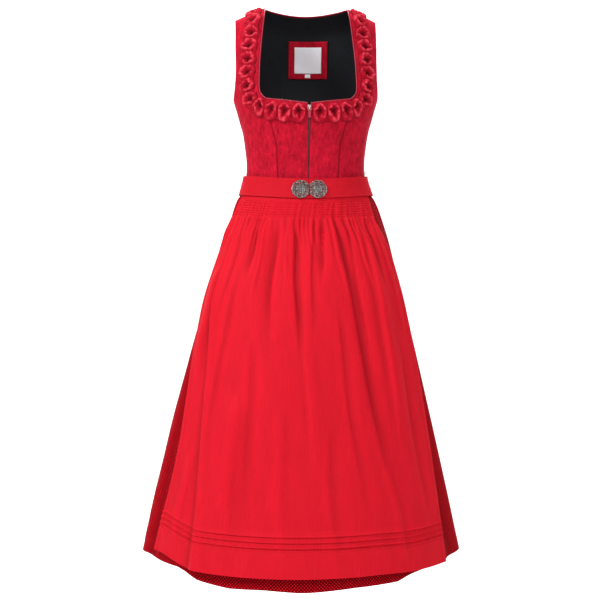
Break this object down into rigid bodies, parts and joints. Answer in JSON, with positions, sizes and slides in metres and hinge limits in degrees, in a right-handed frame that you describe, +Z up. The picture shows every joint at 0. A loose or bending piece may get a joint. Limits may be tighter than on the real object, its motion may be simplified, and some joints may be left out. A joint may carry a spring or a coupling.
{
  "type": "dirndl",
  "caption": "Red dirndl filled out as worn, with a ruched square neckline, front zip, smocked apron and two part metal clasp.",
  "frame": {"origin": "midway between the shoulders, on the centre plane, level with the cloth at the neck sides", "axes": "+Z up along the dress, the front faces -Y, +X is the wearer's left"},
  "size_m": [0.6609, 0.6016, 1.1366],
  "materials": {
    "velvet": "cotton velvet with a short pile",
    "satin": "red satin piping and zip tape",
    "lining": "black twill lining",
    "label": "woven label, left blank",
    "zip_metal": "silver coloured zip and tag",
    "skirt_cloth": "dark red cotton with a fine regular pattern",
    "apron_cloth": "bright red slubbed cotton",
    "clasp_metal": "antique silver"
  },
  "bodies": {
    "dress": {"bodice_front_centre_left": "velvet", "bodice_front_centre_right": "velvet", "bodice_front_side_left": "velvet", "bodice_front_side_right": "velvet", "bodice_back_centre": "velvet", "bodice_back_side_left": "velvet", "bodice_back_side_right": "velvet", "neck_trim_left": "velvet", "neck_trim_right": "velvet", "label_patch": "velvet", "neck_piping_left": "satin", "neck_piping_right": "satin", "neck_piping_back": "satin", "zip_tape": "satin", "lining_back_centre": "lining", "lining_back_left": "lining", "lining_back_right": "lining", "label": "label", "size_tab": "label", "zip_chain": "zip_metal", "zip_slider": "zip_metal", "side_tag": "zip_metal", "skirt_front": "skirt_cloth", "skirt_left": "skirt_cloth", "skirt_back": "skirt_cloth", "skirt_right": "skirt_cloth", "apron": "apron_cloth", "waistband_left": "apron_cloth", "waistband_back": "apron_cloth", "waistband_right": "apron_cloth", "clasp_left": "clasp_metal", "clasp_right": "clasp_metal"},
    "zip_pull": {"zip_pull": "zip_metal"}
  },
  "joints": [
    {"name": "zip_pull_tab", "type": "hinge", "parent": "dress", "child": "zip_pull", "pos_m": [0, -0.12129, -0.222], "axis": [-1, 0, 0], "range_deg": [0, 170]}
  ]
}
